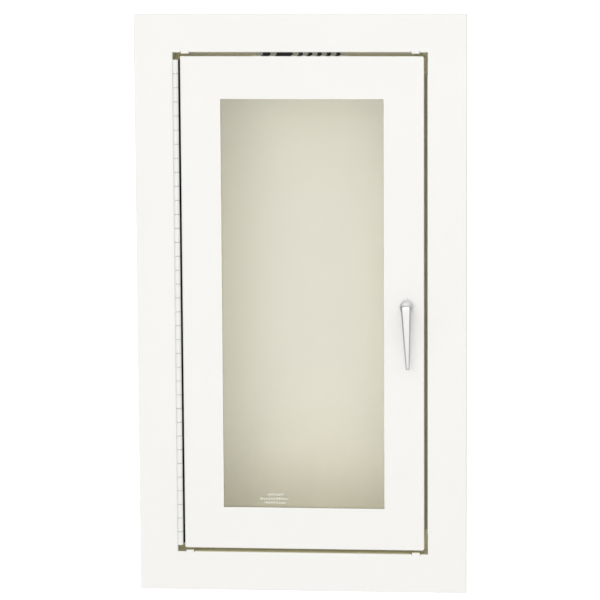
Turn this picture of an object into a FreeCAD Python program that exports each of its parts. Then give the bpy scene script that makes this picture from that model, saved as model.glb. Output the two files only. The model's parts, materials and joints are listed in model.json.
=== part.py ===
"""Recessed wall cabinet for a fire extinguisher: sheet-steel tub, flat trim, window door and catch.

Frame: the origin is the centre of the four fixing holes in the outer back face.
+X is to the right seen from the front, +Y points into the wall and +Z is up.
"""
import FreeCAD, Part
import os
import Sketcher

doc = FreeCAD.newDocument("Cabinet")
sheet = doc.addObject("Spreadsheet::Sheet", "Dimensions")


class Size:
    """A length that carries both its number and the spreadsheet expression behind it."""

    def __init__(self, value, text):
        self.value = value
        self.text = text

    def __add__(self, other):
        other = as_size(other)
        return Size(self.value + other.value, f"({self.text} + {other.text})")

    def __sub__(self, other):
        other = as_size(other)
        return Size(self.value - other.value, f"({self.text} - {other.text})")

    def __mul__(self, other):
        other = as_size(other)
        return Size(self.value * other.value, f"({self.text} * {other.text})")

    def __truediv__(self, other):
        other = as_size(other)
        return Size(self.value / other.value, f"({self.text} / {other.text})")

    def __neg__(self):
        return self * -1


def as_size(number):
    return number if isinstance(number, Size) else Size(float(number), f"({number})")


def driving(alias, number):
    """Store one driving dimension in the sheet and return it as a Size."""
    row = f"A{driving.next_row}"
    driving.next_row += 1
    sheet.set(row, str(number))
    sheet.setAlias(row, alias)
    return Size(float(number), f"Dimensions.{alias}")


driving.next_row = 1

# Trim and opening
trim_margin = driving("trim_margin", 35)
trim_drop = driving("trim_drop", 0.75)
opening_width = driving("opening_width", 229)
opening_height = driving("opening_height", 457)
trim_projection = driving("trim_projection", 8)
trim_sheet = driving("trim_sheet", 1.2)
bend_radius = driving("bend_radius", 1.0)
jamb_depth = driving("jamb_depth", 17)
jamb_relief = driving("jamb_relief", 7.5)
strike_relief = driving("strike_relief", 20)
strike_bulge = driving("strike_bulge", 0.25)
strike_radius = driving("strike_radius", 0.22)
lug_width = driving("lug_width", 7)
lug_height = driving("lug_height", 1.3)
lug_inset = driving("lug_inset", 11)
lug_depth = driving("lug_depth", 6)
lug_slit = driving("lug_slit", 0.5)
lug_slit_rise = driving("lug_slit_rise", 1.2)
# Tub
tub_depth = driving("tub_depth", 127)
tub_sheet = driving("tub_sheet", 0.9)
cap_flange = driving("cap_flange", 12)
cap_flange_length = driving("cap_flange_length", 104)
cap_rivet_front = driving("cap_rivet_front", 95)
cap_rivet_back = driving("cap_rivet_back", 32)
back_hole_across = driving("back_hole_across", 200)
back_hole_up = driving("back_hole_up", 424)
side_hole_up = driving("side_hole_up", 356)
fixing_hole_radius = driving("fixing_hole_radius", 3.25)
stop_width = driving("stop_width", 8)
stop_end_width = driving("stop_end_width", 12)
stop_weld_leg = driving("stop_weld_leg", 14)
stop_clearance = driving("stop_clearance", 0.2)
stop_end_gap = driving("stop_end_gap", 2)
bumper_spread = driving("bumper_spread", 85)
bumper_edge = driving("bumper_edge", 4)
bumper_radius = driving("bumper_radius", 3.2)
bumper_gap = driving("bumper_gap", 0.1)
label_width = driving("label_width", 86)
label_depth = driving("label_depth", 13.5)
label_thickness = driving("label_thickness", 0.2)
label_setback = driving("label_setback", 1.5)
stop_label_height = driving("stop_label_height", 9)
stop_label_drop = driving("stop_label_drop", 10)
# Door
hinge_gap = driving("hinge_gap", 6.5)
strike_gap = driving("strike_gap", 3.4)
end_gap = driving("end_gap", 3.5)
door_depth = driving("door_depth", 16)
door_corner = driving("door_corner", 2)
side_rail = driving("side_rail", 36.1)
end_rail = driving("end_rail", 38.3)
back_flange = driving("back_flange", 12)
strike_flange = driving("strike_flange", 23)
glass_thickness = driving("glass_thickness", 3)
glass_overlap = driving("glass_overlap", 7)
gasket_thickness = driving("gasket_thickness", 0.8)
gasket_width = driving("gasket_width", 5.5)
retainer_land = driving("retainer_land", 6.5)
retainer_end_gap = driving("retainer_end_gap", 0.3)
pane_gap = driving("pane_gap", 0.5)
pane_back_gap = driving("pane_back_gap", 0.1)
stud_radius = driving("stud_radius", 1.25)
stud_length = driving("stud_length", 6)
stud_clearance = driving("stud_clearance", 0.1)
nut_radius = driving("nut_radius", 2.6)
nut_height = driving("nut_height", 2)
# Hinge
knuckle_pitch = driving("knuckle_pitch", 12.7)
knuckle_slit = driving("knuckle_slit", 0.7)
barrel_radius = driving("barrel_radius", 2.5)
pin_radius = driving("pin_radius", 1.5)
pin_clearance = driving("pin_clearance", 0.05)
hinge_sheet = driving("hinge_sheet", 1.0)
knuckle_clearance = driving("knuckle_clearance", 0.3)
leaf_margin = driving("leaf_margin", 0.5)
joggle_start = driving("joggle_start", 6.5)
joggle_end = driving("joggle_end", 8.3)
joggle_slope = driving("joggle_slope", 0.4)
axis_inset = driving("axis_inset", 2.5)
axis_proud = driving("axis_proud", 1.0)
rivet_radius = driving("rivet_radius", 1.6)
rivet_head = driving("rivet_head", 0.8)
rivet_head_radius = driving("rivet_head_radius", 2.9)
rivet_setback = driving("rivet_setback", 11.4)
rivet_end_margin = driving("rivet_end_margin", 30)
# Pull handle
handle_inset = driving("handle_inset", 15.5)
handle_lean = driving("handle_lean", 1.4)
boss_radius = driving("boss_radius", 6)
boss_length = driving("boss_length", 12)
boss_dome = driving("boss_dome", 2.4)
blade_rise = driving("blade_rise", 2.3)
blade_drop = driving("blade_drop", 56.5)
blade_head_width = driving("blade_head_width", 9.4)
blade_tip_width = driving("blade_tip_width", 3.3)
blade_bevel = driving("blade_bevel", 1.3)
blade_head_front = driving("blade_head_front", 17)
blade_head_back = driving("blade_head_back", 10.5)
blade_tip_front = driving("blade_tip_front", 13)
blade_tip_back = driving("blade_tip_back", 9.5)
screw_radius = driving("screw_radius", 2.5)
screw_clearance = driving("screw_clearance", 0.2)
screw_reach = driving("screw_reach", 8)
screw_head_radius = driving("screw_head_radius", 4.5)
screw_head_height = driving("screw_head_height", 3)
screw_slot_width = driving("screw_slot_width", 1.2)
screw_slot_depth = driving("screw_slot_depth", 1.2)
washer_radius = driving("washer_radius", 5)
washer_thickness = driving("washer_thickness", 1)
access_radius = driving("access_radius", 5.5)
pip_drop = driving("pip_drop", 4.2)
pip_radius = driving("pip_radius", 1.0)
pip_clearance = driving("pip_clearance", 0.1)
# Catch
catch_height = driving("catch_height", -45)
roller_radius = driving("roller_radius", 4)
roller_gap = driving("roller_gap", 3.2)
roller_depth = driving("roller_depth", 31)
roller_bore = driving("roller_bore", 1.3)
roller_pin = driving("roller_pin", 1.25)
pivot_depth = driving("pivot_depth", 52)
pivot_rise = driving("pivot_rise", 9)
hub_radius = driving("hub_radius", 3.6)
arm_left = driving("arm_left", 94)
arm_width = driving("arm_width", 8)
arm_plate = driving("arm_plate", 1.2)
arm_tip = driving("arm_tip", 2.4)
arm_edge = driving("arm_edge", 2.0)
arm_half_height = driving("arm_half_height", 2.6)
roller_side_gap = driving("roller_side_gap", 0.2)
bracket_half_height = driving("bracket_half_height", 16)
bracket_sheet = driving("bracket_sheet", 1)
cheek_gap = driving("cheek_gap", 1)
cheek_reach = driving("cheek_reach", 5)
flange_reach = driving("flange_reach", 14)
web_setback = driving("web_setback", 8)
bracket_screw_setback = driving("bracket_screw_setback", 9.5)
pin_shoulder = driving("pin_shoulder", 1)
pin_shoulder_gap = driving("pin_shoulder_gap", 0.3)
spring_wire = driving("spring_wire", 0.9)
spring_clearance = driving("spring_clearance", 0.05)
spring_start = driving("spring_start", 1)
catch_screw_radius = driving("catch_screw_radius", 1.8)
catch_screw_head = driving("catch_screw_head", 3.1)
catch_screw_head_height = driving("catch_screw_head_height", 2)
catch_screw_end = driving("catch_screw_end", 1.5)
spear_screw_rise = driving("spear_screw_rise", 9)
spear_half_height = driving("spear_half_height", 13)
spear_side = driving("spear_side", 2)
spear_sheet = driving("spear_sheet", 1.2)
tongue_inset = driving("tongue_inset", 1)
neck_past_roller = driving("neck_past_roller", 2.5)
neck_half = driving("neck_half", 1.3)
barb_ramp = driving("barb_ramp", 2.5)
barb_flat = driving("barb_flat", 1.5)
barb_half = driving("barb_half", 3)
point_length = driving("point_length", 5)
point_half = driving("point_half", 0.6)

# Places worked out from the driving dimensions
front = -(tub_depth + trim_projection)
open_right = opening_width / 2
open_left = -open_right
open_top = opening_height / 2
open_bottom = -open_top
tub_inner_x = open_right + trim_sheet
tub_inner_z = open_top + trim_sheet
tub_outer_x = tub_inner_x + tub_sheet
tub_outer_z = tub_inner_z + tub_sheet
trim_half_width = open_right + trim_margin
trim_top = open_top + trim_margin - trim_drop
trim_bottom = open_bottom - trim_margin - trim_drop
tub_front = front + trim_sheet
door_left = open_left + hinge_gap
door_right = open_right - strike_gap
door_top = open_top - end_gap
door_bottom = -door_top
door_back = front + door_depth
window_left = door_left + side_rail
window_right = door_right - side_rail
window_top = door_top - end_rail
window_bottom = -window_top
glass_front = front + trim_sheet + gasket_thickness
glass_back = glass_front + glass_thickness
glass_left = window_left - glass_overlap
glass_right = window_right + glass_overlap
glass_top = window_top + glass_overlap
KNUCKLES = 35
hinge_x = open_left + axis_inset
hinge_y = front - axis_proud
hinge_length = knuckle_pitch * KNUCKLES
hinge_bottom = -hinge_length / 2
stop_face = front + jamb_depth + stop_clearance
handle_x = door_right - handle_inset
ZERO = as_size(0)
OVERCUT = 1

nodes = []


def keep(item, label):
    """Give a finished sub-part its node name and list it for export."""
    item.Label = label
    nodes.append(item)
    return item


def bind(item, **sizes):
    for name, size in sizes.items():
        item.setExpression(name, as_size(size).text)


def put(item, x, y, z):
    """Bind an object's position to the sheet."""
    for axis, size in zip("xyz", (x, y, z)):
        item.setExpression(f"Placement.Base.{axis}", as_size(size).text)


# Sketch helpers -------------------------------------------------------------------------------

def new_body(name):
    body = doc.addObject("PartDesign::Body", name + "_body")
    body.AllowCompound = True
    return body


def origin_feature(body, role):
    return next(item for item in body.Origin.OriginFeatures if item.Role == role)


def new_sketch(body, plane, x=0, y=0, z=0):
    """Sketch on an origin plane ("XY", "XZ" or "YZ") with its own origin at the point x, y, z."""
    sketch = body.newObject("Sketcher::SketchObject", "Sketch")
    sketch.AttachmentSupport = [(origin_feature(body, plane + "_Plane"), "")]
    sketch.MapMode = "FlatFace"
    x, y, z = as_size(x), as_size(y), as_size(z)
    offset = {"XY": (x, y, z), "XZ": (x, z, -y), "YZ": (y, z, x)}[plane]
    for axis, size in zip("xyz", offset):
        sketch.setExpression(f"AttachmentOffset.Base.{axis}", size.text)
    return sketch


def fix_point(sketch, geometry, position, u, v):
    """Hold one sketch point at u, v: on an axis where the size is zero, else by a bound distance."""
    for kind, size, axis in (("DistanceX", u, -2), ("DistanceY", v, -1)):
        if abs(size.value) < 1e-9:
            sketch.addConstraint(Sketcher.Constraint("PointOnObject", geometry, position, axis))
            continue
        index = sketch.addConstraint(Sketcher.Constraint(kind, -1, 1, geometry, position, size.value))
        sketch.setExpression(f"Constraints[{index}]", size.text)


def outline(sketch, *points):
    """Closed outline of straight edges through the points."""
    points = [(as_size(u), as_size(v)) for u, v in points]
    corners = [FreeCAD.Vector(u.value, v.value, 0) for u, v in points]
    first = sketch.GeometryCount
    for start, end in zip(corners, corners[1:] + corners[:1]):
        sketch.addGeometry(Part.LineSegment(start, end))
    for index, (u, v) in enumerate(points):
        before = first + (index - 1) % len(points)
        sketch.addConstraint(Sketcher.Constraint("Coincident", before, 2, first + index, 1))
        fix_point(sketch, first + index, 1, u, v)
    return sketch


def rectangle(sketch, left, low, right, high):
    return outline(sketch, (left, low), (right, low), (right, high), (left, high))


def circle(sketch, u, v, radius):
    u, v, radius = as_size(u), as_size(v), as_size(radius)
    centre = FreeCAD.Vector(u.value, v.value, 0)
    index = sketch.addGeometry(Part.Circle(centre, FreeCAD.Vector(0, 0, 1), radius.value))
    fix_point(sketch, index, 3, u, v)
    constraint = sketch.addConstraint(Sketcher.Constraint("Radius", index, radius.value))
    sketch.setExpression(f"Constraints[{constraint}]", radius.text)
    return sketch


# Feature helpers ------------------------------------------------------------------------------

def pad(body, sketch, length, reverse=False):
    """Pad along the sketch's normal: +Z from XY, -Y from XZ, +X from YZ, unless reversed."""
    feature = body.newObject("PartDesign::Pad", "Pad")
    feature.Profile = sketch
    bind(feature, Length=length)
    feature.Reversed = reverse
    doc.recompute()
    return feature


def pocket(body, sketch, length, reverse=False):
    """Pocket against the sketch's normal, unless reversed, and check that it cut something."""
    before = body.Shape.Volume
    feature = body.newObject("PartDesign::Pocket", "Pocket")
    feature.Profile = sketch
    bind(feature, Length=length)
    feature.Reversed = reverse
    doc.recompute()
    if body.Shape.Volume > before - 1e-6:
        raise RuntimeError(f"{body.Name}: a pocket cuts nothing")
    return feature


def turn(body, sketch, axis="V_Axis"):
    feature = body.newObject("PartDesign::Revolution", "Revolution")
    feature.Profile = sketch
    feature.ReferenceAxis = (sketch, [axis])
    feature.Angle = 360
    doc.recompute()
    return feature


def repeat(body, features, axis, spacing, count):
    """Repeat features along an origin axis ("X", "Y" or "Z")."""
    pattern = body.newObject("PartDesign::LinearPattern", "Pattern")
    pattern.Originals = features
    pattern.Direction = (origin_feature(body, axis + "_Axis"), [""])
    pattern.Mode = "Spacing"
    bind(pattern, Offset=spacing)
    pattern.Occurrences = count
    body.Tip = pattern
    doc.recompute()
    return pattern


def edges_at(shape, test):
    """Names of the edges whose two ends and middle all pass the test."""
    found = []
    for index, edge in enumerate(shape.Edges, 1):
        middle = edge.valueAt((edge.FirstParameter + edge.LastParameter) / 2)
        if all(test(point) for point in [vertex.Point for vertex in edge.Vertexes] + [middle]):
            found.append(f"Edge{index}")
    return found


def fillet(body, test, radius):
    tip = body.Tip
    feature = body.newObject("PartDesign::Fillet", "Fillet")
    feature.Base = (tip, edges_at(tip.Shape, test))
    bind(feature, Radius=radius)
    doc.recompute()
    return feature


def near(number, size):
    return abs(number - size.value) < 1e-4


# Part primitive helpers -----------------------------------------------------------------------

def block(x, y, z, width, depth, height):
    item = doc.addObject("Part::Box", "Block")
    bind(item, Length=width, Width=depth, Height=height)
    put(item, x, y, z)
    return item


TURNS = {
    "X": FreeCAD.Rotation(FreeCAD.Vector(0, 1, 0), 90),
    "Y": FreeCAD.Rotation(FreeCAD.Vector(1, 0, 0), -90),
    "Z": FreeCAD.Rotation(),
}


def rod(x, y, z, axis, radius, length):
    """Cylinder from x, y, z towards the positive end of an axis."""
    item = doc.addObject("Part::Cylinder", "Rod")
    bind(item, Radius=radius, Height=length)
    item.Placement = FreeCAD.Placement(FreeCAD.Vector(), TURNS[axis])
    put(item, x, y, z)
    return item


def fuse(*items):
    item = doc.addObject("Part::MultiFuse", "Fuse")
    item.Shapes = list(items)
    return item


def cut(base, *tools):
    item = doc.addObject("Part::Cut", "Cut")
    item.Base = base
    item.Tool = tools[0] if len(tools) == 1 else fuse(*tools)
    return item


def together(*items):
    """Separate solids that share one node."""
    item = doc.addObject("Part::Compound", "Compound")
    item.Links = list(items)
    return item


# Rivets ---------------------------------------------------------------------------------------

HINGE_RIVETS = 6
rivet_y = front + rivet_setback
hinge_rivet_step = (opening_height - rivet_end_margin * 2) / (HINGE_RIVETS - 1)
hinge_rivet_low = -hinge_rivet_step * (HINGE_RIVETS - 1) / 2
cap_rivet_z = tub_inner_z - cap_flange / 2


def hinge_rivet_holes(body, left, right):
    """Column of holes for the hinge's rivets through the sheets between x = left and x = right."""
    holes = new_sketch(body, "YZ", x=left - OVERCUT)
    for step in range(HINGE_RIVETS):
        circle(holes, rivet_y, hinge_rivet_low + hinge_rivet_step * step, rivet_radius)
    pocket(body, holes, right - left + OVERCUT * 2, reverse=True)


def side_holes(body, ends, *sets):
    """Holes right across the tub at the given ends: each set is a depth, a height and a radius."""
    holes = new_sketch(body, "YZ", x=-tub_outer_x - OVERCUT)
    for depth, height, radius in sets:
        for end in ends:
            circle(holes, -depth, height * end, radius)
    pocket(body, holes, (tub_outer_x + OVERCUT) * 2, reverse=True)


# Tub ------------------------------------------------------------------------------------------

def tub_shell():
    """Back and two sides bent from one sheet, with the fixing holes."""
    body = new_body("tub_shell")
    profile = new_sketch(body, "XY", z=-tub_outer_z)
    outline(profile, (-tub_outer_x, tub_front), (-tub_inner_x, tub_front), (-tub_inner_x, -tub_sheet),
            (tub_inner_x, -tub_sheet), (tub_inner_x, tub_front), (tub_outer_x, tub_front),
            (tub_outer_x, ZERO), (-tub_outer_x, ZERO))
    pad(body, profile, tub_outer_z * 2)
    back_holes = new_sketch(body, "XZ")
    for side in (-1, 1):
        for end in (-1, 1):
            circle(back_holes, back_hole_across * side / 2, back_hole_up * end / 2, fixing_hole_radius)
    pocket(body, back_holes, tub_sheet + OVERCUT, reverse=True)
    side_holes(body, (-1, 1), (tub_depth / 2, side_hole_up / 2, fixing_hole_radius),
               (cap_rivet_front, cap_rivet_z, rivet_radius), (cap_rivet_back, cap_rivet_z, rivet_radius))
    hinge_rivet_holes(body, -tub_outer_x, -tub_inner_x)
    keep(body, "tub_shell")


def tub_cap(name, end):
    """Top (end 1) or bottom (end -1) plate with flanges riveted inside the sides and back."""
    body = new_body(name)
    low = tub_inner_z if end > 0 else -tub_outer_z
    plate = new_sketch(body, "XY", z=low)
    rectangle(plate, -tub_inner_x, tub_front, tub_inner_x, -tub_sheet)
    pad(body, plate, tub_sheet)
    flange_low = tub_inner_z - cap_flange if end > 0 else -tub_inner_z
    flanges = new_sketch(body, "XY", z=flange_low)
    inner = tub_inner_x - tub_sheet
    outline(flanges, (-tub_inner_x, -cap_flange_length), (-inner, -cap_flange_length),
            (-inner, -tub_sheet * 2), (inner, -tub_sheet * 2), (inner, -cap_flange_length),
            (tub_inner_x, -cap_flange_length), (tub_inner_x, -tub_sheet), (-tub_inner_x, -tub_sheet))
    pad(body, flanges, cap_flange)
    side_holes(body, (end,), (cap_rivet_front, cap_rivet_z, rivet_radius),
               (cap_rivet_back, cap_rivet_z, rivet_radius))
    keep(body, name)


def rivet_profile(sketch, grip):
    """Half section of a rivet along the sketch's first axis: a shank with a low head at each end."""
    return outline(sketch, (-rivet_head, ZERO), (-rivet_head, rivet_radius), (ZERO, rivet_head_radius),
                   (ZERO, rivet_radius), (grip, rivet_radius), (grip, rivet_head_radius),
                   (grip + rivet_head, rivet_radius), (grip + rivet_head, ZERO))


def tub_rivets():
    """Two rivets through each flange of the top and bottom plates, mirrored to all four corners."""
    body = new_body("tub_rivets")
    rivets = []
    for depth in (cap_rivet_front, cap_rivet_back):
        start = new_sketch(body, "XZ", tub_inner_x - tub_sheet, -depth, cap_rivet_z)
        rivets.append(turn(body, rivet_profile(start, tub_sheet * 2), "H_Axis"))
    across = body.newObject("PartDesign::MultiTransform", "AllCorners")
    across.Originals = rivets
    mirrors = []
    for plane in ("YZ", "XY"):
        step = body.newObject("PartDesign::Mirrored", "Step")
        step.MirrorPlane = (origin_feature(body, plane + "_Plane"), [""])
        mirrors.append(step)
    across.Transformations = mirrors
    body.Tip = across
    doc.recompute()
    keep(body, "tub_rivets")


# Trim -----------------------------------------------------------------------------------------

def trim_frame():
    """Flat face with a return to the wall round its outside and jambs bent back round the opening."""
    body = new_body("trim_frame")
    face = new_sketch(body, "XZ", y=front)
    rectangle(face, -trim_half_width, trim_bottom, trim_half_width, trim_top)
    rectangle(face, open_left, open_bottom, open_right, open_top)
    pad(body, face, trim_sheet, reverse=True)
    rim = new_sketch(body, "XZ", y=front)
    rectangle(rim, -trim_half_width, trim_bottom, trim_half_width, trim_top)
    rectangle(rim, -trim_half_width + trim_sheet, trim_bottom + trim_sheet,
              trim_half_width - trim_sheet, trim_top - trim_sheet)
    pad(body, rim, trim_projection, reverse=True)
    jambs = new_sketch(body, "XZ", y=front)
    reach = open_right - jamb_relief
    for end in (-1, 1):
        rectangle(jambs, -reach, open_top * end, reach, tub_inner_z * end)
    rise = open_top - jamb_relief
    rectangle(jambs, -tub_inner_x, -rise, open_left, rise)
    strike = open_top - strike_relief
    strike_edge = open_right - strike_bulge
    rectangle(jambs, strike_edge, -strike, tub_inner_x, strike)
    pad(body, jambs, jamb_depth, reverse=True)
    lugs = new_sketch(body, "XZ", y=front)
    notches = new_sketch(body, "XZ", y=front)
    for side in (-1, 1):
        centre = (open_right - lug_inset) * side
        for end in (-1, 1):
            rectangle(lugs, centre - lug_width / 2, (open_top - lug_height) * end,
                      centre + lug_width / 2, (open_top + trim_sheet) * end)
            for edge in (-1, 1):
                slit = centre + (lug_width + lug_slit) * edge / 2
                rectangle(notches, slit - lug_slit / 2, open_top * end,
                          slit + lug_slit / 2, (open_top + lug_slit_rise) * end)
    pad(body, lugs, lug_depth, reverse=True)
    pocket(body, notches, jamb_depth + OVERCUT)

    def on_bend(point):
        at_rim = (near(abs(point.x), trim_half_width) or near(point.z, trim_top)
                  or near(point.z, trim_bottom))
        on_jamb = near(point.x, open_left)
        on_end = near(abs(point.z), open_top) and abs(point.x) < reach.value - lug_width.value
        on_lug = near(abs(point.z), open_top - lug_height)
        return near(point.y, front) and (at_rim or on_jamb or on_end or on_lug)

    fillet(body, on_bend, bend_radius)
    fillet(body, lambda point: near(point.y, front) and near(point.x, strike_edge), strike_radius)
    hinge_rivet_holes(body, -tub_inner_x, open_left)
    keep(body, "trim_frame")


def door_stop(name, end):
    """Angle behind the top (end 1) or bottom (end -1) jamb: a stop leg and a leg welded to the tub."""
    body = new_body(name)
    half_width = open_right - jamb_relief - stop_end_gap
    profile = new_sketch(body, "YZ", x=-half_width)
    outer = tub_inner_z * end
    inner = (tub_inner_z - trim_sheet) * end
    tip = (tub_inner_z - stop_end_width) * end
    outline(profile, (stop_face, tip), (stop_face + trim_sheet, tip), (stop_face + trim_sheet, inner),
            (stop_face + stop_weld_leg, inner), (stop_face + stop_weld_leg, outer), (stop_face, outer))
    pad(body, profile, half_width * 2)
    keep(body, name)


def strike_stop():
    """Angle behind the strike-side jamb."""
    body = new_body("stop_strike")
    half = open_top - strike_relief
    profile = new_sketch(body, "XY", z=-half)
    inner = tub_inner_x - trim_sheet
    tip = tub_inner_x - stop_width
    outline(profile, (tip, stop_face), (tip, stop_face + trim_sheet), (inner, stop_face + trim_sheet),
            (inner, stop_face + stop_weld_leg), (tub_inner_x, stop_face + stop_weld_leg),
            (tub_inner_x, stop_face))
    pad(body, profile, half * 2)
    keep(body, "stop_strike")


def bumpers():
    """Four rubber dots on the end stops, which the door closes against."""
    height = tub_inner_z - stop_end_width + bumper_edge
    thickness = stop_face - door_back - bumper_gap
    dots = [rod(bumper_spread * side, stop_face - thickness, height * end, "Y", bumper_radius, thickness)
            for side in (-1, 1) for end in (-1, 1)]
    keep(together(*dots), "rubber_bumpers")


def labels():
    """Two blank foils, one on the door's upper edge and one on the front of the top stop."""
    keep(block(-label_width / 2, front + label_setback, door_top, label_width, label_depth,
               label_thickness), "door_label")
    keep(block(-label_width / 2, stop_face - label_thickness, open_top - stop_label_drop, label_width,
               label_thickness, stop_label_height), "stop_label")


# Door -----------------------------------------------------------------------------------------

def door_panel():
    """Pan-formed door: skin with a window, returns on four sides and flanges at their back edge."""
    body = new_body("door_panel")
    skin = new_sketch(body, "XZ", y=front)
    rectangle(skin, door_left, door_bottom, door_right, door_top)
    rectangle(skin, window_left, window_bottom, window_right, window_top)
    pad(body, skin, trim_sheet, reverse=True)
    returns = new_sketch(body, "XZ", y=front)
    rectangle(returns, door_left, door_bottom, door_right, door_top)
    rectangle(returns, door_left + trim_sheet, door_bottom + trim_sheet,
              door_right - trim_sheet, door_top - trim_sheet)
    pad(body, returns, door_depth, reverse=True)
    flanges = new_sketch(body, "XZ", y=door_back)
    rectangle(flanges, door_left, door_bottom, door_right, door_top)
    rectangle(flanges, door_left + back_flange, door_bottom + back_flange,
              door_right - strike_flange, door_top - back_flange)
    pad(body, flanges, trim_sheet)

    def on_corner(point):
        right = near(point.x, door_right) and near(abs(point.z), door_top)
        left = near(point.x, door_left) and near(point.z, door_bottom)
        return right or left

    fillet(body, on_corner, door_corner)

    def on_front_edge(point):
        outside = (point.x < window_left.value - OVERCUT or point.x > window_right.value + OVERCUT
                   or abs(point.z) > window_top.value + OVERCUT)
        return near(point.y, front) and outside

    fillet(body, on_front_edge, bend_radius)
    holes = new_sketch(body, "XZ", y=front)
    circle(holes, handle_x, ZERO, screw_radius + screw_clearance)
    circle(holes, handle_x, -pip_drop, pip_radius + pip_clearance)
    pocket(body, holes, trim_sheet + OVERCUT)
    access = new_sketch(body, "XZ", y=door_back)
    circle(access, handle_x, ZERO, access_radius)
    for end in (-1, 1):
        circle(access, spear_x, catch_height + spear_screw_rise * end, catch_screw_radius)
    pocket(body, access, trim_sheet + OVERCUT, reverse=True)
    hinge_rivet_holes(body, door_left, door_left + trim_sheet)
    keep(body, "door_panel")


def glazing():
    """Window pane on a foam gasket behind the skin."""
    pane = block(glass_left, glass_front, -glass_top, glass_right - glass_left, glass_thickness,
                 glass_top * 2)
    keep(pane, "glass_pane")
    body = new_body("glass_gasket")
    ring = new_sketch(body, "XZ", y=glass_front)
    inset = glass_overlap - gasket_width
    rectangle(ring, glass_left, -glass_top, glass_right, glass_top)
    rectangle(ring, window_left - inset, window_bottom - inset, window_right + inset,
              window_top + inset)
    pad(body, ring, gasket_thickness)
    keep(body, "glass_gasket")


STUDS_LONG = 4
STUDS_SHORT = 2
skin_back = front + trim_sheet
land_centre = (retainer_land + trim_sheet) / 2 + pane_gap
long_step = glass_top * 2 / STUDS_LONG
short_step = (glass_right - glass_left) / STUDS_SHORT


def stud_places():
    """Centres of the welded studs as (x, z): along both sides, then along the top and bottom."""
    places = []
    for x in (glass_left - land_centre, glass_right + land_centre):
        for step in range(STUDS_LONG):
            places.append((x, -glass_top + long_step * (step + 0.5)))
    for z in (-glass_top - land_centre, glass_top + land_centre):
        for step in range(STUDS_SHORT):
            places.append((glass_left + short_step * (step + 0.5), z))
    return places


def retainer_section(edge, side):
    """Joggled strip section across the pane's edge: (across, depth) corners, from outside to inside."""
    sheet_back = skin_back + trim_sheet
    hold = glass_back + pane_back_gap
    outer = edge + (retainer_land + pane_gap) * side
    step = edge + pane_gap * side
    web = step + trim_sheet * side
    inner = edge - retainer_land * side
    return [(outer, skin_back), (step, skin_back), (step, hold), (inner, hold),
            (inner, hold + trim_sheet), (web, hold + trim_sheet), (web, sheet_back),
            (outer, sheet_back)]


def retainers():
    """Four strips that clamp the pane: two upright ones between a top and a bottom one."""
    for name, edge, side in (("retainer_left", glass_left, -1), ("retainer_right", glass_right, 1)):
        body = new_body(name)
        half = glass_top - retainer_land - retainer_end_gap
        profile = new_sketch(body, "XY", z=-half)
        outline(profile, *retainer_section(edge, side))
        pad(body, profile, half * 2)
        stud_holes(body, lambda x, z: near(x.value, edge + land_centre * side))
        keep(body, name)
    for name, end in (("retainer_bottom", -1), ("retainer_top", 1)):
        body = new_body(name)
        profile = new_sketch(body, "YZ", x=glass_left)
        outline(profile, *[(v, u) for u, v in retainer_section(glass_top * end, end)])
        pad(body, profile, glass_right - glass_left)
        stud_holes(body, lambda x, z: near(z.value, (glass_top + land_centre) * end))
        keep(body, name)


def stud_holes(body, mine):
    """Holes in a retainer for those studs whose place passes the test."""
    holes = new_sketch(body, "XZ", y=skin_back)
    for x, z in stud_places():
        if mine(x, z):
            circle(holes, x, z, stud_radius + stud_clearance)
    pocket(body, holes, trim_sheet + OVERCUT)


def studs_and_nuts():
    studs = [rod(x, skin_back, z, "Y", stud_radius, stud_length) for x, z in stud_places()]
    keep(together(*studs), "weld_studs")
    nuts = []
    for x, z in stud_places():
        hexagon = doc.addObject("Part::Prism", "Hexagon")
        hexagon.Polygon = 6
        bind(hexagon, Circumradius=nut_radius, Height=nut_height)
        hexagon.Placement = FreeCAD.Placement(FreeCAD.Vector(), TURNS["Y"])
        put(hexagon, x, skin_back + trim_sheet, z)
        hole = rod(x, skin_back, z, "Y", stud_radius, stud_length)
        nuts.append(cut(hexagon, hole))
    keep(together(*nuts), "retainer_nuts")


# Hinge ----------------------------------------------------------------------------------------

def knuckles(body, first, bore):
    """Every second knuckle from the given one, with notches in the leaf for the other leaf's knuckles."""
    slot = barrel_radius + knuckle_clearance
    count = (KNUCKLES + 1) // 2 - first
    notch = new_sketch(body, "XY", z=hinge_bottom + knuckle_pitch * (1 - first))
    circle(notch, hinge_x, hinge_y, slot)
    cutter = pocket(body, notch, knuckle_pitch, reverse=True)
    repeat(body, [cutter], "Z", knuckle_pitch * 2, KNUCKLES - count)
    ring = new_sketch(body, "XY", z=hinge_bottom + knuckle_pitch * first + knuckle_slit / 2)
    circle(ring, hinge_x, hinge_y, barrel_radius)
    knuckle = pad(body, ring, knuckle_pitch - knuckle_slit)
    repeat(body, [knuckle], "Z", knuckle_pitch * 2, count)
    hole = new_sketch(body, "XY", z=hinge_bottom - OVERCUT)
    circle(hole, hinge_x, hinge_y, bore)
    pocket(body, hole, hinge_length + OVERCUT * 2, reverse=True)


def hinge_frame_leaf():
    """Straight leaf against the left jamb; it carries the knuckles at both ends of the hinge."""
    body = new_body("hinge_frame_leaf")
    leaf = new_sketch(body, "XY", z=hinge_bottom + knuckle_slit / 2)
    rectangle(leaf, open_left, hinge_y, open_left + hinge_sheet, front + jamb_depth - leaf_margin)
    pad(body, leaf, hinge_length - knuckle_slit)
    knuckles(body, 0, pin_radius)
    hinge_rivet_holes(body, open_left, open_left + hinge_sheet)
    keep(body, "hinge_frame_leaf")


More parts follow.
